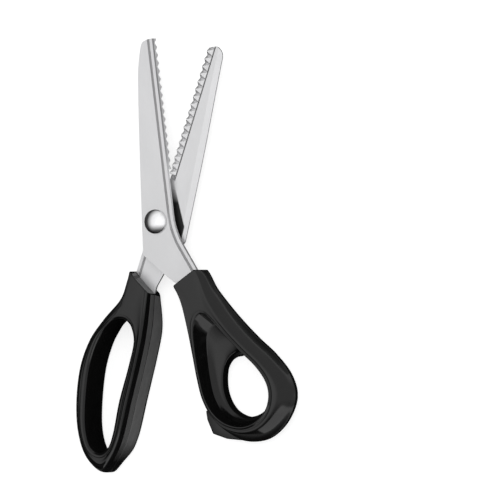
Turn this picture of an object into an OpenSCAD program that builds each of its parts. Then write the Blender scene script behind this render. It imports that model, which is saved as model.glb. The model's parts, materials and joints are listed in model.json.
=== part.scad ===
// Pinking shears: two pressed steel blades with toothed strips, one pivot screw, two moulded grips.
// Everything is laid out about the pivot axis, with z = 0 where the two sets of teeth meet, and
// the whole is then moved so that the shears lie on the plane z = 0, centred on their footprint.

/* [Blades] */
// Pivot to the outermost tooth crest
blade_reach = 98.5; // [80:0.5:120]
// Thickness of the pressed blade sheet
sheet_t = 1.4; // [1:0.1:2]
// Lean of the front blade's cutting line to the left
front_lean = 7.5; // [4:0.5:12]
// Lean of the rear blade's cutting line to the right
rear_lean = 18.9; // [14:0.1:22]
// Distance from the pivot axis to the front blade's cutting line
front_edge = 11.7; // [10:0.1:14]
// Distance from the pivot axis to the rear blade's cutting line
rear_edge = 1.5; // [0.5:0.1:3]
// Width of the raised lip over the toothed strip
lip_w = 2.2; // [1.6:0.1:3]
// Width of the step between the lip and the flat of the blade
step_w = 1.8; // [1.2:0.1:2.6]
// Height that the step raises the lip
step_h = 0.65; // [0.4:0.05:1]
// Width of the bevel along the back of the blade
bevel_w = 3; // [1.5:0.5:4]

/* [Teeth] */
// Distance between tooth crests
tooth_pitch = 4.3; // [3:0.1:6]
// Height of a tooth, crest to valley
tooth_depth = 1.6; // [1:0.1:2]
// Clearance between the meshing teeth
tooth_gap = 0.3; // [0.2:0.05:0.5]
// Radius from the pivot at which the toothed strips start
strip_start = 27; // [24:1:34]
// Outward slope of the toothed edge, sideways travel for each unit of height
relief = 0.24; // [0.1:0.02:0.4]

/* [Pivot] */
// Radius of the screw's shank
shank_r = 3; // [2.5:0.1:4]
// Running clearance of the front blade round the shank
shank_gap = 0.06; // [0.03:0.01:0.1]
// Radius of the domed head
head_r = 6.5; // [5:0.1:8]
// Height of the head's straight rim
rim_h = 0.8; // [0.5:0.1:1.5]
// Height of the dome above the rim
dome_h = 1.6; // [1:0.1:2.5]
// Radius of the spacer washer between the blades
spacer_r = 6; // [5:0.1:7]
// Width of the pivot nut across its flats
nut_af = 10; // [8:0.5:12]
// Thickness of the pivot nut
nut_t = 2.6; // [2:0.1:4]
// Thickness of the washer under the nut
washer_t = 0.6; // [0.4:0.1:1]
// Axial clearance that lets the blades swing
side_gap = 0.1; // [0.05:0.05:0.2]

/* [Grips] */
// Pivot to the far end of the finger loop
grip_reach = 136; // [120:1:155]
// Height of the loops above the plane of the teeth
grip_top = 9.5; // [8:0.5:11]
// Height of the necks above the plane of the teeth
neck_top = 7; // [6:0.5:8]
// Depth of the loops below the plane of the teeth
grip_bottom = 10; // [8.5:0.5:12]
// Depth of the necks below the plane of the teeth
neck_bottom = 7; // [6:0.5:8]
// Outward lean of the finger loop's closing side below its parting line
flare = 3; // [1:0.5:4]
// Inward lean of the finger loop's far inner wall below its parting line
hole_lean = 1.6; // [0:0.2:2]
// Width of the rounding along the rims
rim_w = 2; // [1.5:0.1:3]
// Length of each tang inside its grip
tang_len = 16; // [12:1:18]
// Width of the tangs
tang_w = 15; // [13:0.1:15.5]
// Clearance round a tang in its pocket
tang_gap = 0.05; // [0.02:0.01:0.15]
// Radius of the pins through the tangs
pin_r = 1.5; // [1:0.1:2]
// Reach of the pins above and below the tang
pin_reach = 3; // [2:0.5:3.5]

/* [Hidden] */
$fn = 64;
steel = [0.80, 0.80, 0.81];
bright = [0.90, 0.90, 0.91];
black = [0.05, 0.05, 0.055];

half_tooth = tooth_depth/2;
crest_z = half_tooth - tooth_gap/2;       // how far a crest reaches past the plane of the teeth
inner_z = half_tooth + 0.1;               // inner face of the flat of a blade
outer_z = inner_z + sheet_t;              // outer face of the flat of a blade
strip_top = inner_z + step_h;             // where the strip's back meets the lip
lip_z = outer_z + step_h;                 // top of the lip
strip_w = lip_w + step_w;
strip_reach = strip_w - step_w*0.1;       // the strip ends just short of the foot of the step
far_u = 60;                               // past the widest blade
bend_r = 40;
bend_y = 2.6;
bend_turn = 25;
bend_steps = 5;

// Height of each tip above the pivot, along its blade's cutting line
front_tip_y = sqrt(pow(blade_reach, 2) - pow(front_edge, 2)) + 0.4;
rear_crest = blade_reach - tooth_pitch/2;
rear_tip_y = rear_crest + 3.8;

// Grip points are set out for a reach of 136 and follow grip_reach
g = grip_reach/136;

// Stations run from the ferrule down the far side, round the end and back up the closing side
finger_out = g*[[-12, -18], [-16.8, -31.5], [-20.8, -41.5], [-30, -51.8], [-38.7, -63.5], [-44.6, -78.5],
    [-47, -97], [-46, -114], [-41, -128], [-31.5, -135.9], [-24.8, -129.6], [-18.8, -117.6],
    [-13.5, -97.5], [-7.6, -75.5], [-3.9, -58], [-2.2, -39], [-1, -20]];
finger_top = g*[[-10, -19], [-13.8, -32.5], [-17.3, -43.5], [-27.5, -54.5], [-35.8, -65.3], [-41.4, -79.5],
    [-43.6, -97], [-42.7, -113], [-38.5, -124.8], [-31, -131.3], [-25, -127], [-19.8, -116.5],
    [-14.8, -97.3], [-9.3, -76], [-6, -59.5], [-4.4, -40], [-3, -21]];
finger_hole = g*[[-18.5, -52.4], [-21.5, -52.8], [-24.6, -54.6], [-28.4, -58.8], [-33.4, -67.3], [-37.6, -80.3],
    [-39.7, -97], [-39.8, -111.5], [-37, -121.5], [-31.2, -125.2], [-26, -122.3], [-22.7, -113.8],
    [-19.1, -97], [-13.4, -78], [-10.3, -65], [-11.8, -57], [-15.2, -53.3]];
thumb_out = g*[[7.4, -27.2], [15.9, -43.4], [20.3, -56.5], [24, -71], [27, -84.5], [30.5, -96],
    [36, -106], [44, -113.5], [54, -117.6], [67, -115.8], [77.3, -107], [82.7, -94],
    [79.6, -82], [70.5, -71], [59.5, -61.6], [47.8, -50.2], [36.3, -37], [26.5, -24]];
thumb_shoulder = g*[[9.9, -26.2], [17.8, -43], [22, -56.5], [25.2, -71], [28, -84.3], [31.2, -95.3],
    [36.4, -104], [43.6, -110], [53.6, -112.6], [63.3, -110.5], [70.3, -103.6], [73, -94],
    [71.2, -84.5], [64.8, -76], [54.8, -67.3], [43.7, -56.5], [33, -43], [23, -25]];
thumb_crest = g*[[28, -48.6], [25.7, -51.6], [24.8, -57.5], [26.6, -71.5], [29.2, -84], [32.3, -94.6],
    [37.2, -102.6], [44.3, -108], [53.6, -110.1], [61.8, -107.8], [68.2, -101.9], [70.8, -94],
    [69.3, -86], [63.3, -77.6], [53.6, -69], [42.3, -58.3], [33.6, -50], [30.6, -48.4]];
thumb_hole = g*[[45.2, -70.4], [42.6, -72.2], [40.4, -74.8], [38.7, -79.2], [38.2, -85.2], [39, -91.6],
    [41.6, -97.6], [45.9, -102.2], [52.6, -104.7], [60, -103], [65.5, -98.2], [67.9, -92],
    [66.8, -85.6], [61.9, -79], [55.8, -73.6], [51.4, -70.6], [48.8, -69.6], [47, -69.6]];

// Heel under the thumb loop that closes against the finger loop
thumb_foot = g*[[33, -99], [28.4, -101.8], [29.2, -106.5], [32.6, -114], [41, -116.6], [52, -117.4],
    [52, -112], [42, -104]];
foot_top = -0.1*grip_bottom;
foot_bottom = -0.8*grip_bottom;

// The two straight edges of each ferrule: a point on the edge and the direction it faces
finger_end = g*[-14, -27];
finger_end_turn = -45.5;
finger_end_y = g*-26.9;
thumb_end = g*[11, -35.6];
thumb_end_turn = 35.5;
thumb_end_y = g*-25.9;

// Side curves of the grips, from the parting plane out: [share of the way in, share of the way up]
finger_front_side = [[0.12, 0.5], [0.45, 0.83]];
finger_rear_side = [[0, 0.66], [0.4, 0.89]];
thumb_front_side = [[0.3, 0.45], [0.72, 0.82]];
thumb_rear_side = [[0, 0.29], [0.5, 0.8]];
// Thumb scoop: [share of the way from the crest to the hole, drop below the crest], then the share
// at the parting plane, then below it [share, share of the depth]
scoop_steps = [[0.05, 0.5], [0.13, 3]];
scoop_share = 0.32;
scoop_floor = [[0.62, 0.13], [0.9, 0.24], [1, 0.38]];
rim_mid = rim_w*0.3;                      // middle point of a rounded rim
face_fall = 0.2;                          // fall of a grip's front face towards its outline
loop_steps = 4;                           // points drawn from each guide point to the next

// The parting planes lie on the inner faces of the tangs
finger_parting = tang_gap - inner_z;
thumb_parting = inner_z - tang_gap;

// Footprint of the whole, which sets the frame
left_x = min([for (p = finger_out) p[0]]);
right_x = max([for (p = thumb_out) p[0]]);
near_y = min([for (p = finger_out) p[1]]);
tip_y = front_edge*sin(front_lean) + front_tip_y*cos(front_lean);
frame_shift = [-(left_x + right_x)/2, -(near_y + tip_y)/2, grip_bottom];

function mix(a, b, t) = a + (b - a)*t;
function catmull(a, b, c, d, t) =
    0.5*(2*b + (c - a)*t + (2*a - 5*b + 4*c - d)*t*t + (3*b - a - 3*c + d)*t*t*t);
function smooth_loop(p, steps) = let (n = len(p))
    [for (i = [0:n - 1], j = [0:steps - 1])
        catmull(p[(i + n - 1)%n], p[i], p[(i + 1)%n], p[(i + 2)%n], j/steps)];
function mix_loops(p, q, t) = [for (i = [0:len(p) - 1]) mix(p[i], q[i], t)];
function toward(p, q, d) = [for (i = [0:len(p) - 1]) p[i] + (q[i] - p[i])*min(1, d/norm(q[i] - p[i]))];
function ease(t) = let (s = max(0, min(1, t))) s*s*(3 - 2*s);
// Share of the loop's height that a point has, from 0 at the ferrule to 1 at the loop
function loop_share(y) = ease((-y/g - 28)/34);
function lift(p, neck_z, loop_z) = [for (q = p) [q[0], q[1], mix(neck_z, loop_z, loop_share(q[1]))]];
// Moves the closing side (side = 1) or the far side (side = -1) of a finger loop towards the other grip
function lean(p, side, d) = let (n = len(p))
    [for (i = [0:n - 1]) let (t = p[(i + 1)%n] - p[(i + n - 1)%n], s = max(0, side*t[1]/norm(t)))
        p[i] + [d*s*s*loop_share(p[i][1])*(1 - ease((-p[i][1]/g - 122)/12)), 0]];

// A closed band of rings, each a loop of points at its own height
module band(rings) {
    n = len(rings[0]);
    k = len(rings);
    polyhedron(
        points = [for (r = rings) each r],
        faces = [for (i = [0:k - 1], j = [0:n - 1], h = [0, 1])
            let (a = i*n + j, b = i*n + (j + 1)%n, c = ((i + 1)%k)*n + (j + 1)%n, d = ((i + 1)%k)*n + j)
            h == 0 ? [a, c, b] : [a, d, c]]);
}

// A solid through a row of rings, closed by its first and last ring
module sweep(rings) {
    n = len(rings[0]);
    k = len(rings);
    polyhedron(
        points = [for (r = rings) each r],
        faces = concat([[for (j = [0:n - 1]) n - 1 - j]], [[for (j = [0:n - 1]) (k - 1)*n + j]],
            [for (i = [0:k - 2], j = [0:n - 1])
                [i*n + j, i*n + (j + 1)%n, (i + 1)*n + (j + 1)%n, (i + 1)*n + j]]));
}

// Everything is drawn about the pivot and then moved into the frame
module placed() { translate(frame_shift) children(); }
module front_side() { placed() rotate([0, 0, front_lean]) children(); }
// The rear blade is the front one turned over, so its outward side faces down
module rear_side() { placed() rotate([0, 0, -rear_lean]) rotate([0, 180, 0]) children(); }

// Section across a blade: x is minus the distance in from the crest line, y is the height
function edge_u(z) = relief*(z + crest_z);
sheet_section = [[-edge_u(strip_top), strip_top], [-lip_w, strip_top], [-strip_w, inner_z],
    [-far_u, inner_z], [-far_u, outer_z], [-strip_w - 0.3, outer_z], [-lip_w - 0.3, lip_z],
    [-edge_u(lip_z), lip_z]];
strip_section = [[0, -crest_z], [-edge_u(strip_top), strip_top], [-lip_w, strip_top],
    [-strip_reach, inner_z + step_h*0.1], [-strip_reach, half_tooth - 0.05]];

// A stretch of a section that runs from y = from to y = to along the line x = edge
module run(section, edge, from, to) {
    translate([edge, to, 0]) rotate([90, 0, 0]) linear_extrude(to - from) polygon(section);
}

// Conical grooves about the pivot that cut the teeth, with a crest left at radius crest_r
module tooth_grooves(crest_r) {
    count = ceil((crest_r - strip_start)/tooth_pitch) + 1;
    wave = [for (i = [-3:2*count]) [crest_r - i*tooth_pitch/2, tooth_gap/2 + (i%2 == 0 ? -1 : 1)*half_tooth]];
    rotate([0, 0, 50]) rotate_extrude(angle = 60, $fn = 240)
        polygon(concat([[wave[0][0], -4]], wave, [[wave[len(wave) - 1][0], -4]]));
}
module toothed_strip(edge, crest_r) {
    difference() {
        run(strip_section, edge, strip_start, crest_r + tooth_pitch);
        tooth_grooves(crest_r);
    }
}

// Back edge of each blade, from the hub up to the tip
front_back = [[-9.9, -16.9], [-6.8, 17.5], [-2.6, 59.9], [-0.5, front_tip_y - 19.8],
    [0.9, front_tip_y - 12], [2.9, front_tip_y - 4.2], [4.7, front_tip_y - 1], [8, front_tip_y]];
rear_back = [[-18.5, -5.3], [-16.6, 15], [-13.7, 43.8], [-10.2, rear_tip_y - 27], [-8.3, rear_tip_y - 11],
    [-7.6, rear_tip_y - 4.7], [-6.3, rear_tip_y - 1.9], [-4.2, rear_tip_y - 0.4], [-2.4, rear_tip_y],
    [rear_edge, rear_tip_y - 2]];
bevel_turn = 6.3;
rear_tang_x = 4.7;
rear_tang_y = g*-33;
tang_end_y = rear_tang_y - tang_len;
front_tang_y = g*-15.8;
lip_end_y = 24;
tang_lip_y = -13;

function smooth_path(p, steps) = let (n = len(p)) concat([for (i = [0:n - 2], j = [0:steps - 1])
    catmull(p[max(0, i - 1)], p[i], p[i + 1], p[min(n - 1, i + 2)], j/steps)], [p[n - 1]]);

// A point of the front blade's stretch below a bend of the given turn, seen from the upper stretch
function below(p, turn) = [front_edge + bend_r, bend_y]
    + [(p[0] - bend_r)*cos(turn) - p[1]*sin(turn), (p[0] - bend_r)*sin(turn) + p[1]*cos(turn)];
module front_outline() {
    tang_end = front_tang_y - tang_len;
    polygon(concat(smooth_path(front_back, 4), [[far_u, front_tip_y], below([far_u/2, tang_end], bend_turn),
        below([-tang_w, tang_end], bend_turn), below([-tang_w, front_tang_y], bend_turn),
        g*[6.7, -33.7], g*[1.4, -28.9]]));
}
// The sheet's section at a height above or below the bend, turned with it
function front_ring(y, turn) = [for (p = sheet_section) let (q = below([p[0], y], turn)) [q[0], q[1], p[1]]];
front_rings = concat([front_ring(far_u*2, 0)], [for (i = [0:bend_steps]) front_ring(0, bend_turn*i/bend_steps)],
    [front_ring(-far_u, bend_turn)]);
module rear_outline() {
    polygon(concat(smooth_path(rear_back, 4), [[far_u, rear_tip_y - 2], [far_u, tang_end_y],
        [rear_tang_x - tang_w, tang_end_y], [rear_tang_x - tang_w, rear_tang_y], [-12.1, g*-25.5]]));
}
// Puts its children in the frame of the front blade's lower stretch, below the bend
module below_bend() {
    translate([front_edge + bend_r, bend_y, 0]) rotate([0, 0, bend_turn]) translate([-bend_r, 0, 0]) children();
}

module front_blade() {
    color(steel) front_side() difference() {
        intersection() {
            sweep(front_rings);
            linear_extrude(2*lip_z) front_outline();
        }
        cylinder(r = shank_r + shank_gap, h = 2*lip_z);
        below_bend() translate([-tang_w/2, front_tang_y, 0]) tang_pin_holes();
    }
}
module front_tooth_strip() {
    color(bright) front_side() intersection() {
        toothed_strip(front_edge, blade_reach);
        translate([0, 0, -lip_z]) linear_extrude(2*lip_z) front_outline();
    }
}

module rear_blade() {
    color(steel) rear_side() difference() {
        intersection() {
            union() {
                run(sheet_section, rear_edge, lip_end_y, rear_tip_y);
                run(sheet_section, rear_tang_x, tang_end_y, tang_lip_y);
                translate([0, 0, inner_z]) linear_extrude(sheet_t) polygon([[-far_u/2, tang_lip_y],
                    [rear_tang_x - 0.5, tang_lip_y], [7.4, -8], [8.7, -2], [8.7, 4], [6.6, 12], [3.4, 19],
                    [rear_edge - 0.5, lip_end_y], [-far_u/2, lip_end_y]]);
            }
            linear_extrude(2*lip_z) rear_outline();
        }
        cylinder(r = shank_r, h = 2*lip_z);
        translate([rear_tang_x - tang_w/2, rear_tang_y, 0]) tang_pin_holes();
        // Bevel along the back of the inner face
        translate([rear_back[0][0], rear_back[0][1], inner_z]) rotate([90, 0, -bevel_turn])
            translate([0, 0, -rear_tip_y - 20]) linear_extrude(rear_tip_y + 20)
                polygon([[-2, -0.1], [bevel_w, -0.1], [bevel_w, 0], [0, sheet_t*0.45], [-2, sheet_t*0.6]]);
    }
}
module rear_tooth_strip() {
    color(bright) rear_side() intersection() {
        toothed_strip(rear_edge, rear_crest);
        translate([0, 0, -lip_z]) linear_extrude(2*lip_z) rear_outline();
    }
}

// Two pins in line down a tang; the origin is the middle of the tang at the ferrule
pin_places = [for (share = [0.35, 0.8]) [0, -tang_len*share, 0]];
module tang_pin_holes() {
    for (p = pin_places) translate(p) cylinder(r = pin_r, h = 2*lip_z);
}
module tang_pins() {
    for (p = pin_places) translate([p[0], p[1], inner_z - pin_reach])
        cylinder(r = pin_r, h = sheet_t + 2*pin_reach);
}
// Room for a tang and its pins; x runs across the tang from its lip side
module tang_room() {
    translate([-tang_w - tang_gap, -tang_len - tang_gap, inner_z - tang_gap])
        cube([tang_w + 2*tang_gap, tang_len + 12, lip_z - inner_z + 2*tang_gap]);
    translate([-tang_w/2, 0, 0]) tang_pins();
}
module at_finger_tang() { rear_side() translate([rear_tang_x, rear_tang_y, 0]) children(); }
module at_thumb_tang() { front_side() below_bend() translate([0, front_tang_y, 0]) children(); }
module finger_tang_pins() { color(bright) at_finger_tang() translate([-tang_w/2, 0, 0]) tang_pins(); }
module thumb_tang_pins() { color(bright) at_thumb_tang() translate([-tang_w/2, 0, 0]) tang_pins(); }

// Pivot, built upwards from the outer face of the rear blade
module pivot_screw() {
    shank_bottom = -outer_z - washer_t - nut_t - 0.8;
    head_z = outer_z + side_gap;
    dome_r = (pow(head_r, 2) + pow(dome_h, 2))/(2*dome_h);
    color(bright) placed() {
        translate([0, 0, shank_bottom]) cylinder(r = shank_r, h = head_z - shank_bottom + rim_h/2);
        translate([0, 0, head_z]) cylinder(r = head_r, h = rim_h);
        intersection() {
            translate([0, 0, head_z + rim_h + dome_h - dome_r]) sphere(r = dome_r, $fn = 180);
            translate([0, 0, head_z + rim_h/2]) cylinder(r = head_r, h = rim_h/2 + dome_h);
        }
    }
}
module ring(outer_r, inner_r, z, t) {
    placed() translate([0, 0, z]) difference() {
        cylinder(r = outer_r, h = t);
        translate([0, 0, -1]) cylinder(r = inner_r, h = t + 2);
    }
}
module spacer_washer() { color(steel) ring(spacer_r, shank_r, -inner_z, 2*inner_z - side_gap); }
module nut_washer() { color(steel) ring(nut_af/2 + 0.6, shank_r, -outer_z - washer_t, washer_t); }
module pivot_nut() {
    color(steel) placed() translate([0, 0, -outer_z - washer_t - nut_t]) difference() {
        cylinder(r = nut_af/2/cos(30), h = nut_t, $fn = 6);
        translate([0, 0, -1]) cylinder(r = shank_r, h = nut_t + 2);
    }
}

// Cuts a grip square at its ferrule: above the slanted end face and above the level shoulder
module ferrule_cut(corner, turn, shoulder_y) {
    translate([corner[0], corner[1], -20]) rotate([0, 0, turn]) translate([-60, 0, 0]) cube([120, 40, 40]);
    translate([-50, shoulder_y, -20]) cube([120, 40, 40]);
}
// Rings up the outer side of a grip, from the outline a in to the outline c, each set by its side's
// curve: [share of the way in, share of the way up]
function side_rings(a, c, z, neck_z, loop_z, curve) = [for (s = curve)
    lift(mix_loops(a, c, s[0]), mix(z, neck_z, s[1]), mix(z, loop_z, s[1]))];
// Rings that round a rim over from the hole h to the face that reaches c; side is 1 above, -1 below
function rim_rings(h, c, neck_z, loop_z, side) = [for (d = [0, rim_mid, rim_w])
    let (drop = side*(d == rim_mid ? rim_mid : rim_w - d))
        lift(toward(h, c, d), neck_z - drop, loop_z - drop)];
function backwards(list) = [for (i = [len(list) - 1:-1:0]) list[i]];

module finger_front_shell() {
    a = smooth_loop(finger_out, loop_steps);
    c = smooth_loop(finger_top, loop_steps);
    h = smooth_loop(finger_hole, loop_steps);
    z = finger_parting;
    band(concat([lift(a, z, z)],
        side_rings(a, c, z, neck_top, grip_top, finger_front_side),
        [lift(c, neck_top - face_fall, grip_top - face_fall)],
        backwards(rim_rings(h, c, neck_top, grip_top, 1)),
        [lift(h, z, z)]));
}
module finger_rear_shell() {
    a = smooth_loop(finger_out, loop_steps);
    c = lean(smooth_loop(finger_top, loop_steps), 1, flare);
    h = smooth_loop(finger_hole, loop_steps);
    low_h = lean(h, -1, hole_lean);
    z = finger_parting;
    band(concat([lift(h, z, z)],
        rim_rings(low_h, c, -neck_bottom, -grip_bottom, -1),
        [lift(c, -neck_bottom, -grip_bottom)],
        backwards(side_rings(lean(a, 1, flare), c, z, -neck_bottom, -grip_bottom, finger_rear_side)),
        [lift(a, z, z)]));
}
module finger_grip_front() {
    color(black) difference() {
        placed() finger_front_shell();
        placed() ferrule_cut(finger_end, finger_end_turn, finger_end_y);
        at_finger_tang() tang_room();
    }
}
module finger_grip_rear() {
    color(black) difference() {
        placed() finger_rear_shell();
        placed() ferrule_cut(finger_end, finger_end_turn, finger_end_y);
        at_finger_tang() tang_room();
    }
}

module thumb_front_shell() {
    a = smooth_loop(thumb_out, loop_steps);
    s = smooth_loop(thumb_shoulder, loop_steps);
    c = smooth_loop(thumb_crest, loop_steps);
    h = smooth_loop(thumb_hole, loop_steps);
    z = thumb_parting;
    band(concat([lift(a, z, z)],
        side_rings(a, s, z, neck_top, grip_top, thumb_front_side),
        [lift(s, neck_top - face_fall, grip_top - face_fall), lift(c, neck_top, grip_top)],
        [for (step = scoop_steps) lift(mix_loops(c, h, step[0]), neck_top - step[1], grip_top - step[1])],
        [lift(mix_loops(c, h, scoop_share), z, z)]));
}
module thumb_rear_shell() {
    a = smooth_loop(thumb_out, loop_steps);
    s = smooth_loop(thumb_shoulder, loop_steps);
    c = smooth_loop(thumb_crest, loop_steps);
    h = smooth_loop(thumb_hole, loop_steps);
    z = thumb_parting;
    band(concat([lift(mix_loops(c, h, scoop_share), z, z)],
        [for (step = scoop_floor) lift(mix_loops(c, h, step[0]), -step[1]*neck_bottom, -step[1]*grip_bottom)],
        rim_rings(h, s, -neck_bottom, -grip_bottom, -1),
        [lift(s, -neck_bottom, -grip_bottom)],
        backwards(side_rings(a, s, z, -neck_bottom, -grip_bottom, thumb_rear_side)),
        [lift(a, z, z)]));
}
module thumb_grip_front() {
    color(black) difference() {
        placed() thumb_front_shell();
        placed() ferrule_cut(thumb_end, thumb_end_turn, thumb_end_y);
        at_thumb_tang() tang_room();
    }
}
module thumb_grip_rear() {
    color(black) difference() {
        placed() union() {
            thumb_rear_shell();
            translate([0, 0, foot_bottom]) linear_extrude(foot_top - foot_bottom) polygon(thumb_foot);
        }
        placed() ferrule_cut(thumb_end, thumb_end_turn, thumb_end_y);
        at_thumb_tang() tang_room();
    }
}

front_blade();
front_tooth_strip();
rear_blade();
rear_tooth_strip();
pivot_screw();
spacer_washer();
nut_washer();
pivot_nut();
finger_grip_front();
finger_grip_rear();
finger_tang_pins();
thumb_grip_front();
thumb_grip_rear();
thumb_tang_pins();
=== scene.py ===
"""Pinking shears: finish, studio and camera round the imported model.

Lengths are millimetres about the pivot axis, with z = 0 where the two sets of teeth meet,
and place() turns them into metres in the model's own frame.
"""

import json
import math

import bmesh
import bpy
from mathutils import Matrix, Vector


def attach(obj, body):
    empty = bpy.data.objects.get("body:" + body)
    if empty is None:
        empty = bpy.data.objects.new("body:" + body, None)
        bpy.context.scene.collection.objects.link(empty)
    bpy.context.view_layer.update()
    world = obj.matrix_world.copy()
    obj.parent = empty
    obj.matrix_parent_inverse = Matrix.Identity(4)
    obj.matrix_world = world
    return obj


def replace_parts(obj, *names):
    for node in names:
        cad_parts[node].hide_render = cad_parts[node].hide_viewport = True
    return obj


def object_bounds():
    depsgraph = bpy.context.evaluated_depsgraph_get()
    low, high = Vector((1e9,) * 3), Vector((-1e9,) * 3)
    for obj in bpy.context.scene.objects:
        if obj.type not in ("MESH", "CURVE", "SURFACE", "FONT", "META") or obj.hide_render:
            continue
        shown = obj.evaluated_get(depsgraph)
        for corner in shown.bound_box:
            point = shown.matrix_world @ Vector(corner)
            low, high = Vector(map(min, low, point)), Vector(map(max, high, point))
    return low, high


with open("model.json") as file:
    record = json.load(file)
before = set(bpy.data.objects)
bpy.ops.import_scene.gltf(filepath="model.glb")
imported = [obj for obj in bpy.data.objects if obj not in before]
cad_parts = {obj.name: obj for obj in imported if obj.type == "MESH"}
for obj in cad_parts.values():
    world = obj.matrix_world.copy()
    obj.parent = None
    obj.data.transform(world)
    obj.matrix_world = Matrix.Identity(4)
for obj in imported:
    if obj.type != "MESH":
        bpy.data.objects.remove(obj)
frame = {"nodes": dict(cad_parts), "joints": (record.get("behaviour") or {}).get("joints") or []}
cad_box = [list(corner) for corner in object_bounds()]
NODES = frame["nodes"]
MM = 0.001

# ---------------------------------------------------------------- places
PIVOT = Vector(frame["joints"][0]["pos_m"])
FRONT_LEAN = math.radians(7.5)      # lean of the front blade, to the left
REAR_LEAN = math.radians(-18.9)     # lean of the rear blade, to the right

GRIP_TOP, NECK_TOP = 9.5, 7.0
GRIP_BOTTOM, NECK_BOTTOM = 10.0, 7.0
RIM_W = 2.0
FLARE, HOLE_LEAN = 3.0, 1.6
FINGER_PARTING, THUMB_PARTING = -0.85, 0.85
GROOVE = 0.28                       # half the width of the groove along a parting line

# Guide points run from the ferrule down the far side, round the end and up the closing side
FINGER_OUT = [(-12, -18), (-16.8, -31.5), (-20.8, -41.5), (-30, -51.8), (-38.7, -63.5),
              (-44.6, -78.5), (-47, -97), (-46, -114), (-41, -128), (-31.5, -135.9),
              (-24.8, -129.6), (-18.8, -117.6), (-13.5, -97.5), (-7.6, -75.5), (-3.9, -58),
              (-2.2, -39), (-1, -20)]
FINGER_TOP = [(-10, -19), (-13.8, -32.5), (-17.3, -43.5), (-27.5, -54.5), (-35.8, -65.3),
              (-41.4, -79.5), (-43.6, -97), (-42.7, -113), (-38.5, -124.8), (-31, -131.3),
              (-25, -127), (-19.8, -116.5), (-14.8, -97.3), (-9.3, -76), (-6, -59.5),
              (-4.4, -40), (-3, -21)]
FINGER_HOLE = [(-18.5, -52.4), (-21.5, -52.8), (-24.6, -54.6), (-28.4, -58.8), (-33.4, -67.3),
               (-37.6, -80.3), (-39.7, -97), (-39.8, -111.5), (-37, -121.5), (-31.2, -125.2),
               (-26, -122.3), (-22.7, -113.8), (-19.1, -97), (-13.4, -78), (-10.3, -65),
               (-11.8, -57), (-15.2, -53.3)]
THUMB_OUT = [(7.4, -27.2), (15.9, -43.4), (20.3, -56.5), (24, -71), (27, -84.5), (30.5, -96),
             (36, -106), (44, -113.5), (54, -117.6), (67, -115.8), (77.3, -107), (82.7, -94),
             (79.6, -82), (70.5, -71), (59.5, -61.6), (47.8, -50.2), (36.3, -37), (26.5, -24)]
THUMB_SHOULDER = [(9.9, -26.2), (17.8, -43), (22, -56.5), (25.2, -71), (28, -84.3),
                  (31.2, -95.3), (36.4, -104), (43.6, -110), (53.6, -112.6), (63.3, -110.5),
                  (70.3, -103.6), (73, -94), (71.2, -84.5), (64.8, -76), (54.8, -67.3),
                  (43.7, -56.5), (33, -43), (23, -25)]
THUMB_CREST = [(28, -48.6), (25.7, -51.6), (24.8, -57.5), (26.6, -71.5), (29.2, -84),
               (32.3, -94.6), (37.2, -102.6), (44.3, -108), (53.6, -110.1), (61.8, -107.8),
               (68.2, -101.9), (70.8, -94), (69.3, -86), (63.3, -77.6), (53.6, -69),
               (42.3, -58.3), (33.6, -50), (30.6, -48.4)]
THUMB_HOLE = [(45.2, -70.4), (42.6, -72.2), (40.4, -74.8), (38.7, -79.2), (38.2, -85.2),
              (39, -91.6), (41.6, -97.6), (45.9, -102.2), (52.6, -104.7), (60, -103),
              (65.5, -98.2), (67.9, -92), (66.8, -85.6), (61.9, -79), (55.8, -73.6),
              (51.4, -70.6), (48.8, -69.6), (47, -69.6)]
THUMB_FOOT = [(33, -99), (28.4, -101.8), (29.2, -106.5), (32.6, -114), (41, -116.6),
              (52, -117.4), (52, -112), (42, -104)]
FOOT_TOP, FOOT_BOTTOM = -1.0, -8.0

# Sides of the shells, from the parting line to a face: (share of the way in, share of the height)
FINGER_FRONT_SIDE = [(0.12, 0.5), (0.45, 0.83)]
FINGER_REAR_SIDE = [(0.4, 0.89), (0, 0.66)]
THUMB_FRONT_SIDE = [(0.3, 0.45), (0.72, 0.82)]
THUMB_REAR_SIDE = [(0.5, 0.8), (0, 0.29)]

# The crown of the finger grip's face: (share of the way to the hole, drop on neck, drop on loop)
FINGER_CROWN = [(0, 1.2, 0.5), (0.15, 0.5, 0.3)]
SHOULDER_DROP = 0.5
# The beads round the holes, from outer foot to top: (distance from the edge, drop)
FINGER_BEAD = [(2.7, 0.8), (2.2, 0.1)]
THUMB_BEAD = [(1.2, 0.8), (0.5, 0.1), (0, 0.1)]

# The thumb scoop, by share of the way from crest to hole: drops in the front shell, the share
# at the parting line, and shares of the rear shell's depth
SCOOP_STEPS = [(0.05, 0.5), (0.13, 3)]
SCOOP_SHARE = 0.32
SCOOP_FLOOR = [(0.62, 0.13), (0.9, 0.24), (1, 0.38)]

# Satin panels up the finger grip's closing side, their lighter grey partly a matte finish and
# partly painted sheen
# # from the right: from and to, by number of guide point, and the heights between which they turn
# to gloss at the bottom
SATIN_SHEEN_FRONT, SATIN_SHEEN_REAR = (9.3, 16.5), (9.3, 15.5)
SATIN_SHEEN_FADE = (-130, -118)

# The painted dark reflection of the front blade's underside on the rear blade: the turn of each
# edge line and its distance from the pivot
DARK_REFLECTION_UPPER = (math.radians(14.7), 14.4)
DARK_REFLECTION_LOWER = (math.radians(-15.4), 15.8)
DARK_REFLECTION_WIDTH, DARK_REFLECTION_FADE = 7.0, (10, 20)

# Each ferrule is cut off along a slanted line and a level one: a corner, its turn, the level
FINGER_END = ((-14, -27), math.radians(-45.5), -26.9)
THUMB_END = ((11, -35.6), math.radians(35.5), -25.9)

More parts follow.
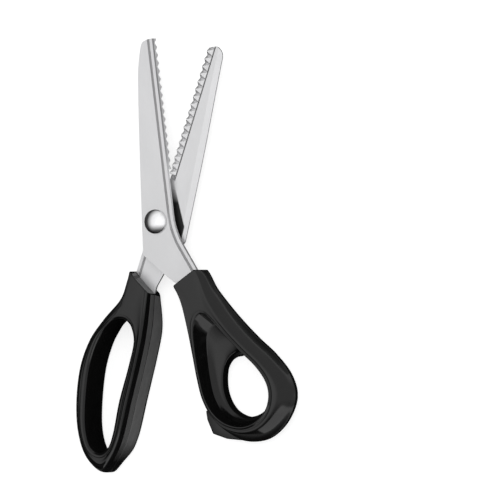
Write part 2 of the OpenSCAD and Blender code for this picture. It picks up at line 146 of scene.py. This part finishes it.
LOOP_STEPS = 16                     # points drawn from each guide point to the next
RING_STEPS = 5                      # rings drawn from each ring of a profile to the next
SHARP_ANGLE = math.radians(32)      # edges turning more than this are drawn sharp
BEVEL_ANGLE = math.radians(28)      # and CAD edges turning more than this are broken


def place(x, y, z):
    return PIVOT + Vector((x, y, z)) * MM


def inside(v):
    """Keeps a point of a shell inside the model's own box."""
    return Vector(max(low, min(high, c)) for c, low, high in zip(v, *cad_box))


# ---------------------------------------------------------------- shapes
def catmull(a, b, c, d, t):
    return 0.5 * (2 * b + (c - a) * t + (2 * a - 5 * b + 4 * c - d) * t * t
                  + (3 * b - a - 3 * c + d) * t ** 3)


def smooth_loop(points):
    p = [Vector(q) for q in points]
    n = len(p)
    return [catmull(p[i - 1], p[i], p[(i + 1) % n], p[(i + 2) % n], j / LOOP_STEPS)
            for i in range(n) for j in range(LOOP_STEPS)]


def mix(a, b, t):
    return a + (b - a) * t


def mix_loops(p, q, t):
    return [mix(a, b, t) for a, b in zip(p, q)]


def toward(p, q, d):
    return [a + (b - a) * min(1, d / (b - a).length) for a, b in zip(p, q)]


def ease(t):
    t = max(0, min(1, t))
    return t * t * (3 - 2 * t)


def loop_share(y):
    """0 along the neck, 1 round the loop."""
    return ease((-y - 28) / 34)


def lift(p, neck_z, loop_z):
    return [Vector((a.x, a.y, mix(neck_z, loop_z, loop_share(a.y)))) for a in p]


def lean(p, side, d):
    """Moves one side of a finger loop across: side 1 is the closing side, -1 the far one."""
    out = []
    for i, a in enumerate(p):
        t = p[(i + 1) % len(p)] - p[i - 1]
        s = max(0, side * t.y / t.length)
        share = s * s * loop_share(a.y) * (1 - ease((-a.y - 122) / 12))
        out.append(a + Vector((d * share, 0)))
    return out


def side_rings(a, c, z, neck_z, loop_z, curve):
    return [lift(mix_loops(a, c, s), mix(z, neck_z, u), mix(z, loop_z, u)) for s, u in curve]


def rim_rings(h, c, neck_z, loop_z, side):
    """Rounds a rim over from the hole h to the face that reaches c."""
    out = []
    for turn in (0, 30, 60, 90):
        across = RIM_W * (1 - math.cos(math.radians(turn)))
        drop = side * RIM_W * (1 - math.sin(math.radians(turn)))
        out.append(lift(toward(h, c, across), neck_z - drop, loop_z - drop))
    return out


def groove_rings(a, inner, z, side):
    """The edge of a shell at its parting line, cut back so that two shells leave a groove."""
    deep = toward(a, inner, GROOVE)
    return [lift(deep, z, z), lift(a, z + side * GROOVE, z + side * GROOVE)]


def fill_rings(rings, sharp):
    """Adds smooth rings between those of a profile; the profile breaks at the sharp ones."""
    out = []
    last = len(rings) - 1
    for i in range(last):
        before = rings[i] if i == 0 or i in sharp else rings[i - 1]
        after = rings[i + 1] if i + 1 == last or i + 1 in sharp else rings[i + 2]
        for j in range(RING_STEPS):
            t = j / RING_STEPS
            out.append([catmull(a, b, c, d, t)
                        for a, b, c, d in zip(before, rings[i], rings[i + 1], after)])
    for p in (p for ring in out for p in ring):
        p.z = max(-GRIP_BOTTOM, min(GRIP_TOP, p.z))
    return out + [rings[last]]


def band(bm, rings, satin_sheen):
    """A closed band of rings, the last joined to the first. Rings and stations inside the given
    ranges take the second material, whose lighter grey is partly a matte finish and partly painted
    sheen."""
    (ring_from, ring_to), (station_from, station_to) = satin_sheen
    rows = [[bm.verts.new(inside(place(*p))) for p in ring] for ring in rings]
    n = len(rows[0])
    for i, row in enumerate(rows):
        after = rows[(i + 1) % len(rows)]
        for j in range(n):
            face = bm.faces.new((row[j], row[(j + 1) % n], after[(j + 1) % n], after[j]))
            if (ring_from <= i / RING_STEPS < ring_to
                    and station_from <= j / LOOP_STEPS < station_to):
                face.material_index = 1


def cut_end(bm, point, normal, chamfer=0.45):
    """Cuts off what lies past a plane and closes the cut with a chamfered cap."""
    n = Vector((normal[0], normal[1], 0)).normalized()
    at = place(point[0], point[1], 0) - n * chamfer * MM
    cut = bmesh.ops.bisect_plane(bm, geom=bm.verts[:] + bm.edges[:] + bm.faces[:], dist=1e-7,
                                 plane_co=at, plane_no=n, clear_outer=True)
    edges = [e for e in cut["geom_cut"] if isinstance(e, bmesh.types.BMEdge)]
    caps = bmesh.ops.edgeloop_fill(bm, edges=edges)["faces"]
    bmesh.ops.recalc_face_normals(bm, faces=bm.faces[:])
    bmesh.ops.inset_region(bm, faces=caps, thickness=chamfer * MM, depth=0)
    bmesh.ops.translate(bm, vec=n * chamfer * MM,
                        verts=list({v for f in caps if f.is_valid for v in f.verts}))


def add_piece(name, body, bm, materials):
    """Makes a smoothly shaded piece of a grip from a mesh under construction."""
    mesh = bpy.data.meshes.new(name)
    bm.to_mesh(mesh)
    bm.free()
    mesh.shade_smooth()
    mesh.set_sharp_from_angle(angle=SHARP_ANGLE)
    for mat in materials:
        mesh.materials.append(mat)
    obj = bpy.data.objects.new(name, mesh)
    bpy.context.scene.collection.objects.link(obj)
    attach(obj, body)
    return obj


def shell(name, body, cad_node, rings, sharp, end, satin_sheen=((0, 0), (0, 0))):
    bm = bmesh.new()
    band(bm, fill_rings(rings, sharp), satin_sheen)
    bmesh.ops.recalc_face_normals(bm, faces=bm.faces[:])
    corner, turn, level = end
    cut_end(bm, corner, (-math.sin(turn), math.cos(turn)))
    cut_end(bm, (0, level), (0, 1))
    bmesh.ops.recalc_face_normals(bm, faces=bm.faces[:])
    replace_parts(add_piece(name, body, bm, (PLASTIC, SATIN_SHEEN)), cad_node)


# ---------------------------------------------------------------- materials
def material(name):
    mat = bpy.data.materials.new(name)
    mat.use_nodes = True
    return mat, mat.node_tree, mat.node_tree.nodes["Principled BSDF"]


def node(tree, kind, **settings):
    n = tree.nodes.new(kind)
    for key, value in settings.items():
        if key in n.inputs:
            n.inputs[key].default_value = value
        else:
            setattr(n, key, value)
    return n


def grain(tree, turn, stretch, scale, detail=4.0):
    """Noise drawn out along a line turned about z."""
    place_of = node(tree, "ShaderNodeTexCoord")
    turned = node(tree, "ShaderNodeMapping", Rotation=(0, 0, -turn))
    drawn = node(tree, "ShaderNodeMapping", Scale=stretch)
    noise = node(tree, "ShaderNodeTexNoise", Scale=scale, Detail=detail, Roughness=0.6)
    tree.links.new(place_of.outputs["Object"], turned.inputs["Vector"])
    tree.links.new(turned.outputs["Vector"], drawn.inputs["Vector"])
    tree.links.new(drawn.outputs["Vector"], noise.inputs["Vector"])
    return noise


def spread(tree, source, low, high, start=0.3, end=0.7):
    """Maps start to end onto low to high, and holds it there outside them."""
    span = node(tree, "ShaderNodeMapRange")
    for key, value in (("From Min", start), ("From Max", end), ("To Min", low), ("To Max", high)):
        span.inputs[key].default_value = value
    tree.links.new(source, span.inputs["Value"])
    return span.outputs["Result"]


def tint(tree, source, low, high):
    """Runs from one colour to another over the middle of a noise."""
    ramp = node(tree, "ShaderNodeValToRGB")
    ramp.color_ramp.elements[0].position, ramp.color_ramp.elements[1].position = 0.3, 0.7
    ramp.color_ramp.elements[0].color = (*low, 1)
    ramp.color_ramp.elements[1].color = (*high, 1)
    tree.links.new(source, ramp.inputs["Fac"])
    return ramp.outputs["Color"]


def bump(tree, bsdf, source, strength, depth_mm):
    b = node(tree, "ShaderNodeBump", Strength=strength, Distance=depth_mm * MM)
    tree.links.new(source, b.inputs["Height"])
    tree.links.new(b.outputs["Normal"], bsdf.inputs["Normal"])


def blend_colour(tree, share, first, second, blend="MIX"):
    """Mixes two colours; each input is a socket or a constant."""
    n = node(tree, "ShaderNodeMix", data_type="RGBA", blend_type=blend)
    for source, key in ((share, "Factor"), (first, "A"), (second, "B")):
        socket = next(i for i in n.inputs if i.name == key and i.enabled)
        if isinstance(source, (float, tuple)):
            socket.default_value = source
        else:
            tree.links.new(source, socket)
    return next(o for o in n.outputs if o.enabled)


def across(tree, turn, axis="X"):
    """The distance across a line turned about z, in metres."""
    place_of = node(tree, "ShaderNodeTexCoord")
    turned = node(tree, "ShaderNodeMapping", Rotation=(0, 0, -turn))
    split = node(tree, "ShaderNodeSeparateXYZ")
    tree.links.new(place_of.outputs["Object"], turned.inputs["Vector"])
    tree.links.new(turned.outputs["Vector"], split.inputs["Vector"])
    return split.outputs[axis]


def across_at(turn, mm):
    """What across() reads at a distance from the pivot."""
    return (Matrix.Rotation(-turn, 3, "Z") @ PIVOT).x + mm * MM


def product(tree, *factors):
    total = factors[0]
    for factor in factors[1:]:
        n = node(tree, "ShaderNodeMath", operation="MULTIPLY")
        tree.links.new(total, n.inputs[0])
        tree.links.new(factor, n.inputs[1])
        total = n.outputs["Value"]
    return total


def plastic_material(name, rough, dark, light, stretch, ripple_mm, fade=None):
    """Moulded black: a slight ripple in the skin and faint rubbed patches. A fade goes over to
    the gloss finish between two distances below the pivot."""
    mat, tree, bsdf = material(name)
    bsdf.inputs["IOR"].default_value = 1.46
    ripple = grain(tree, REAR_LEAN, stretch, 90, detail=2.0)
    rubbed = grain(tree, REAR_LEAN, stretch, 160, detail=6.0)
    rough_at = spread(tree, rubbed.outputs["Fac"], rough - 0.03, rough + 0.04)
    colour = tint(tree, rubbed.outputs["Fac"], (dark,) * 3, (light,) * 3)
    if fade:
        share = spread(tree, across(tree, 0, "Y"), 0.0, 1.0, *(PIVOT.y + y * MM for y in fade))
        colour = blend_colour(tree, share, (GLOSS_BASE,) * 3 + (1,), colour)
        rough_at = product(tree, rough_at, spread(tree, share, GLOSS_ROUGH / rough, 1.0, 0, 1))
    tree.links.new(rough_at, bsdf.inputs["Roughness"])
    tree.links.new(colour, bsdf.inputs["Base Color"])
    bump(tree, bsdf, ripple.outputs["Fac"], 0.25, ripple_mm)
    return mat


def brushed_material(name, turn, base, rough, lines, metal=1.0, marks=None):
    """Steel with fine lines along the direction turn, and a slow change of brightness."""
    mat, tree, bsdf = material(name)
    bsdf.inputs["Metallic"].default_value = metal
    brush = grain(tree, turn, (14, 1, 14) if lines == "along" else (1, 14, 1), 420)
    cloud = grain(tree, turn, (1, 0.5, 1), 30, detail=2.0)
    low = tuple(c * 0.93 for c in base)
    colour = tint(tree, cloud.outputs["Fac"], low, base)
    if marks:
        colour = marks(tree, colour)
    tree.links.new(colour, bsdf.inputs["Base Color"])
    tree.links.new(spread(tree, brush.outputs["Fac"], rough - 0.05, rough + 0.07),
                   bsdf.inputs["Roughness"])
    bump(tree, bsdf, brush.outputs["Fac"], 0.3, 0.012)
    return mat


def inside_line(tree, turn, edge):
    """1 on the left of a line and 0 on its right, with a narrow soft edge."""
    return spread(tree, across(tree, turn), 1, 0, across_at(turn, edge - 0.3),
                  across_at(turn, edge + 0.2))


def painted_reflection_mark(tree, colour):
    """A dark reflection of the front blade's underside, painted on the rear blade's inner face
    beside the edge
    of the front blade: a strip bounded by one line above and another below, which fades out
    upwards."""
    faces = node(tree, "ShaderNodeNewGeometry")
    split = node(tree, "ShaderNodeSeparateXYZ")
    tree.links.new(faces.outputs["Normal"], split.inputs["Vector"])
    turn, edge = DARK_REFLECTION_UPPER
    share = product(
        tree,
        inside_line(tree, turn, edge),
        spread(tree, across(tree, turn), 0, 1, across_at(turn, edge - DARK_REFLECTION_WIDTH - 1),
               across_at(turn, edge - DARK_REFLECTION_WIDTH)),
        inside_line(tree, *DARK_REFLECTION_LOWER),
        spread(tree, across(tree, 0, "Y"), 1, 0, *(PIVOT.y + y * MM for y in DARK_REFLECTION_FADE)),
        spread(tree, split.outputs["Z"], 0, 1, 0.3, 0.7))
    return blend_colour(tree, share, colour, (0.02, 0.02, 0.02, 1))


def seam_mark(tree, colour):
    """The seam where the rear strip meets its blade, a thin dark line along its edge."""
    turned = Matrix.Rotation(-REAR_LEAN, 3, "Z")
    edge = max((turned @ v.co).x for v in NODES["rear_tooth_strip"].data.vertices)
    share = spread(tree, across(tree, REAR_LEAN), 0, 1, edge - 0.55 * MM, edge - 0.35 * MM)
    return blend_colour(tree, share, colour, (0.16, 0.16, 0.16, 1))


def polished_material():
    """The screw: turned rings under a polish."""
    mat, tree, bsdf = material("screw_steel")
    bsdf.inputs["Metallic"].default_value = 1.0
    where = node(tree, "ShaderNodeTexCoord")
    centre = node(tree, "ShaderNodeMapping", Location=tuple(-PIVOT))
    rings = node(tree, "ShaderNodeTexWave", wave_type="RINGS", rings_direction="Z", Scale=900,
                 Distortion=0.6, Detail=1.0)
    tree.links.new(where.outputs["Object"], centre.inputs["Vector"])
    tree.links.new(centre.outputs["Vector"], rings.inputs["Vector"])
    scuffs = grain(tree, 0.7, (1, 3, 1), 300)
    tree.links.new(spread(tree, scuffs.outputs["Fac"], 0.08, 0.14), bsdf.inputs["Roughness"])
    tree.links.new(tint(tree, scuffs.outputs["Fac"], (0.80, 0.80, 0.81), (0.86, 0.86, 0.87)),
                   bsdf.inputs["Base Color"])
    bump(tree, bsdf, rings.outputs["Fac"], 0.12, 0.004)
    return mat


def dress(name, mat, bevel_mm=0.0):
    """Gives a CAD node its finish, with its sharp edges slightly broken."""
    obj = NODES[name]
    obj.data.materials.clear()
    obj.data.materials.append(mat)
    if bevel_mm:
        weld = obj.modifiers.new("weld", "WELD")
        weld.merge_threshold = 1e-6
        edge = obj.modifiers.new("edge", "BEVEL")
        edge.width = bevel_mm * MM
        edge.segments = 2
        edge.limit_method = "ANGLE"
        edge.angle_limit = BEVEL_ANGLE
        edge.harden_normals = False


GLOSS_ROUGH, GLOSS_BASE = 0.13, 0.004
PLASTIC = plastic_material("grip_plastic", GLOSS_ROUGH, 0.003, 0.005, (1, 1, 1), 0.05)
# The panels' lighter grey is partly their matte finish and partly painted sheen, standing in for
# light from the right.
SATIN_SHEEN = plastic_material("grip_satin_sheen", 0.4, 0.075, 0.095, (4, 0.6, 4), 0.02, SATIN_SHEEN_FADE)
SHEET_STEEL, TOOTH_STEEL = (0.78, 0.78, 0.79), (0.82, 0.82, 0.83)
FRONT_STEEL = brushed_material("front_blade_steel", FRONT_LEAN, SHEET_STEEL, 0.42, "along", 0.75)
# The rear blade's steel carries a painted dark reflection of the front blade's underside, beside
# the pivot.
REAR_STEEL = brushed_material("rear_blade_steel", REAR_LEAN, SHEET_STEEL, 0.42, "along", 0.75,
                              painted_reflection_mark)
FRONT_TEETH = brushed_material("front_strip_steel", FRONT_LEAN, TOOTH_STEEL, 0.45, "across", 0.4)
REAR_TEETH = brushed_material("rear_strip_steel", REAR_LEAN, TOOTH_STEEL, 0.4, "across", 0.8,
                              seam_mark)
POLISHED = polished_material()
PLAIN = brushed_material("washer_steel", 0.0, (0.55, 0.55, 0.56), 0.3, "across")

dress("front_blade", FRONT_STEEL, 0.08)
dress("rear_blade", REAR_STEEL, 0.08)
dress("front_tooth_strip", FRONT_TEETH, 0.06)
dress("rear_tooth_strip", REAR_TEETH, 0.06)
dress("pivot_screw", POLISHED, 0.15)
dress("spacer_washer", PLAIN, 0.1)
dress("nut_washer", PLAIN, 0.1)
dress("pivot_nut", PLAIN, 0.2)
dress("finger_tang_pins", PLAIN)
dress("thumb_tang_pins", PLAIN)


# ---------------------------------------------------------------- grips
def finger_shells():
    a, c, h = (smooth_loop(p) for p in (FINGER_OUT, FINGER_TOP, FINGER_HOLE))
    z = FINGER_PARTING
    front = (groove_rings(a, c, z, 1)
             + side_rings(a, c, z, NECK_TOP, GRIP_TOP, FINGER_FRONT_SIDE)
             + [lift(mix_loops(c, h, t), NECK_TOP - neck, GRIP_TOP - loop)
                for t, neck, loop in FINGER_CROWN]
             + [lift(toward(h, c, d), NECK_TOP - drop, GRIP_TOP - drop)
                for d, drop in FINGER_BEAD]
             + rim_rings(h, c, NECK_TOP, GRIP_TOP, 1)[::-1]
             + [lift(h, z, z)])
    shell("finger_shell_front", "finger_half", "finger_grip_front", front,
          {0, 1, len(front) - 1}, FINGER_END, ((1, 2), SATIN_SHEEN_FRONT))
    low_c, low_a, low_h = lean(c, 1, FLARE), lean(a, 1, FLARE), lean(h, -1, HOLE_LEAN)
    rear = ([lift(h, z, z)]
            + rim_rings(low_h, low_c, -NECK_BOTTOM, -GRIP_BOTTOM, -1)
            + [lift(low_c, -NECK_BOTTOM, -GRIP_BOTTOM)]
            + side_rings(low_a, low_c, z, -NECK_BOTTOM, -GRIP_BOTTOM, FINGER_REAR_SIDE)
            + groove_rings(a, c, z, -1)[::-1])
    last = len(rear) - 1
    shell("finger_shell_rear", "finger_half", "finger_grip_rear", rear,
          {0, last - 1, last}, FINGER_END, ((last - 2, last - 1), SATIN_SHEEN_REAR))


def thumb_shells():
    a, s, c, h = (smooth_loop(p) for p in (THUMB_OUT, THUMB_SHOULDER, THUMB_CREST, THUMB_HOLE))
    z = THUMB_PARTING
    waist = lift(mix_loops(c, h, SCOOP_SHARE), z, z)
    front = (groove_rings(a, s, z, 1)
             + side_rings(a, s, z, NECK_TOP, GRIP_TOP, THUMB_FRONT_SIDE)
             + [lift(s, NECK_TOP - SHOULDER_DROP, GRIP_TOP - SHOULDER_DROP)]
             + [lift(toward(c, s, d), NECK_TOP - drop, GRIP_TOP - drop) for d, drop in THUMB_BEAD]
             + [lift(mix_loops(c, h, t), NECK_TOP - drop, GRIP_TOP - drop)
                for t, drop in SCOOP_STEPS]
             + [waist])
    shell("thumb_shell_front", "thumb_half", "thumb_grip_front", front,
          {0, 1, len(front) - 1}, THUMB_END)
    rear = ([waist]
            + [lift(mix_loops(c, h, t), -u * NECK_BOTTOM, -u * GRIP_BOTTOM)
               for t, u in SCOOP_FLOOR]
            + rim_rings(h, s, -NECK_BOTTOM, -GRIP_BOTTOM, -1)
            + [lift(s, -NECK_BOTTOM, -GRIP_BOTTOM)]
            + side_rings(a, s, z, -NECK_BOTTOM, -GRIP_BOTTOM, THUMB_REAR_SIDE)
            + groove_rings(a, s, z, -1)[::-1])
    last = len(rear) - 1
    shell("thumb_shell_rear", "thumb_half", "thumb_grip_rear", rear,
          {0, last - 1, last}, THUMB_END)


def heel():
    """The heel under the thumb loop, a block with broken edges."""
    bm = bmesh.new()
    low = [bm.verts.new(place(x, y, FOOT_BOTTOM)) for x, y in THUMB_FOOT]
    high = [bm.verts.new(place(x, y, FOOT_TOP)) for x, y in THUMB_FOOT]
    n = len(low)
    bm.faces.new(low[::-1])
    bm.faces.new(high)
    for i in range(n):
        bm.faces.new((low[i], low[(i + 1) % n], high[(i + 1) % n], high[i]))
    bmesh.ops.recalc_face_normals(bm, faces=bm.faces[:])
    bmesh.ops.bevel(bm, geom=bm.edges[:], offset=0.6 * MM, segments=3, affect="EDGES", profile=0.5)
    add_piece("thumb_heel", "thumb_half", bm, (PLASTIC,))


finger_shells()
thumb_shells()
heel()

# ---------------------------------------------------------------- studio
# Brightness seen in reflections by height, on the left and on the right: (height, level)
LEFT_SKY = ((0.0, 0.02), (0.48, 0.05), (0.80, 1.0), (1.0, 1.25))
RIGHT_SKY = ((0.0, 1.5), (0.12, 0.7), (0.80, 0.7), (0.94, 1.15), (1.0, 1.25))
WHITE = (1.0, 1.0, 1.0, 1)
FLOOR_SIZE, FLOOR_DROP = 6.0, 0.0002


def grey_ramp(tree, source, stops):
    n = node(tree, "ShaderNodeValToRGB")
    while len(n.color_ramp.elements) < len(stops):
        n.color_ramp.elements.new(0.5)
    for element, (at, level) in zip(n.color_ramp.elements, stops):
        element.position = at
        element.color = (level, level, level, 1)
    tree.links.new(source, n.inputs["Fac"])
    return n.outputs["Color"]


def sky():
    """Reflections see a sky that differs to the left, the right and the near side; the camera
    sees plain white."""
    world = bpy.data.worlds.new("studio")
    bpy.context.scene.world = world
    world.use_nodes = True
    tree = world.node_tree
    where = node(tree, "ShaderNodeTexCoord")
    split = node(tree, "ShaderNodeSeparateXYZ")
    tree.links.new(where.outputs["Generated"], split.inputs["Vector"])
    side = spread(tree, split.outputs["X"], 0.0, 1.0, -0.05, 0.15)
    near = spread(tree, split.outputs["Y"], 0.08, 1.0, -0.6, -0.22)
    round_about = blend_colour(tree, side, grey_ramp(tree, split.outputs["Z"], LEFT_SKY),
                               grey_ramp(tree, split.outputs["Z"], RIGHT_SKY))
    lit = blend_colour(tree, 1.0, round_about, near, "MULTIPLY")
    seen = node(tree, "ShaderNodeLightPath")
    tree.links.new(blend_colour(tree, seen.outputs["Is Camera Ray"], lit, WHITE),
                   tree.nodes["Background"].inputs["Color"])


def floor():
    """A pale floor, which glossy reflections see dark close by and lighter further off: painted
    shade, standing in for the shadow under and inside the grips.
    """
    mesh = bpy.data.meshes.new("floor")
    size = FLOOR_SIZE
    mesh.from_pydata([(-size, -size, 0), (size, -size, 0), (size, size, 0), (-size, size, 0)],
                     [], [(0, 1, 2, 3)])
    obj = bpy.data.objects.new("floor", mesh)
    obj.location.z = -FLOOR_DROP
    bpy.context.scene.collection.objects.link(obj)
    mat, tree, bsdf = material("floor")
    bsdf.inputs["Base Color"].default_value = (0.5, 0.5, 0.5, 1)
    bsdf.inputs["Roughness"].default_value = 0.9
    seen = node(tree, "ShaderNodeLightPath")
    glow = node(tree, "ShaderNodeEmission", Color=WHITE, Strength=0.75)
    painted_floor_shade = node(tree, "ShaderNodeBsdfDiffuse")
    # Painted shade: nearby floor seen in reflections is darkened by ray length, in place of the
    # shadow under and inside the grips.
    tree.links.new(spread(tree, seen.outputs["Ray Length"], 0.014, 0.35, 0.03, 0.12),
                   painted_floor_shade.inputs["Color"])
    lit = node(tree, "ShaderNodeAddShader")
    to_gloss = node(tree, "ShaderNodeMixShader")
    to_camera = node(tree, "ShaderNodeMixShader")
    for source, target in (
            (bsdf.outputs["BSDF"], lit.inputs[0]), (glow.outputs["Emission"], lit.inputs[1]),
            (seen.outputs["Is Glossy Ray"], to_gloss.inputs["Fac"]),
            (bsdf.outputs["BSDF"], to_gloss.inputs[1]), (painted_floor_shade.outputs["BSDF"], to_gloss.inputs[2]),
            (seen.outputs["Is Camera Ray"], to_camera.inputs["Fac"]),
            (to_gloss.outputs["Shader"], to_camera.inputs[1]),
            (lit.outputs["Shader"], to_camera.inputs[2]),
            (to_camera.outputs["Shader"], tree.nodes["Material Output"].inputs["Surface"])):
        tree.links.new(source, target)
    mesh.materials.append(mat)


def softbox(name, position, target, width, height, power, glossy=True):
    data = bpy.data.lights.new(name, "AREA")
    data.shape = "RECTANGLE"
    data.size, data.size_y, data.energy = width, height, power
    lamp = bpy.data.objects.new(name, data)
    lamp.location = position
    lamp.visible_glossy = glossy
    lamp.rotation_euler = (Vector(target) - Vector(position)).to_track_quat("-Z", "Y").to_euler()
    bpy.context.scene.collection.objects.link(lamp)


sky()
floor()
softbox("key", (0.5, 0.35, 0.9), PIVOT, 0.8, 0.8, 3.5, glossy=False)
softbox("low_card", (0.55, -0.85, 0.25), PIVOT + Vector((0.04, -0.09, 0)), 1.0, 0.8, 3.6)

# ---------------------------------------------------------------- camera
VIEW_TILT = math.radians(26)
TARGET = place(55.4, -15.3, 0)
FIELD = 267.5 * MM
LENS, SENSOR = 400.0, 36.0
camera_data = bpy.data.cameras.new("camera")
camera_data.lens, camera_data.sensor_width = LENS, SENSOR
camera = bpy.data.objects.new("camera", camera_data)
toward_camera = Vector((math.sin(VIEW_TILT), 0, math.cos(VIEW_TILT)))
camera.location = TARGET + toward_camera * FIELD * LENS / SENSOR
to_right = Vector((math.cos(VIEW_TILT), 0, -math.sin(VIEW_TILT)))
camera.rotation_euler = Matrix((to_right, (0, 1, 0), toward_camera)).transposed().to_euler()
bpy.context.scene.collection.objects.link(camera)
bpy.context.scene.camera = camera
bpy.context.scene.view_settings.view_transform = "Standard"
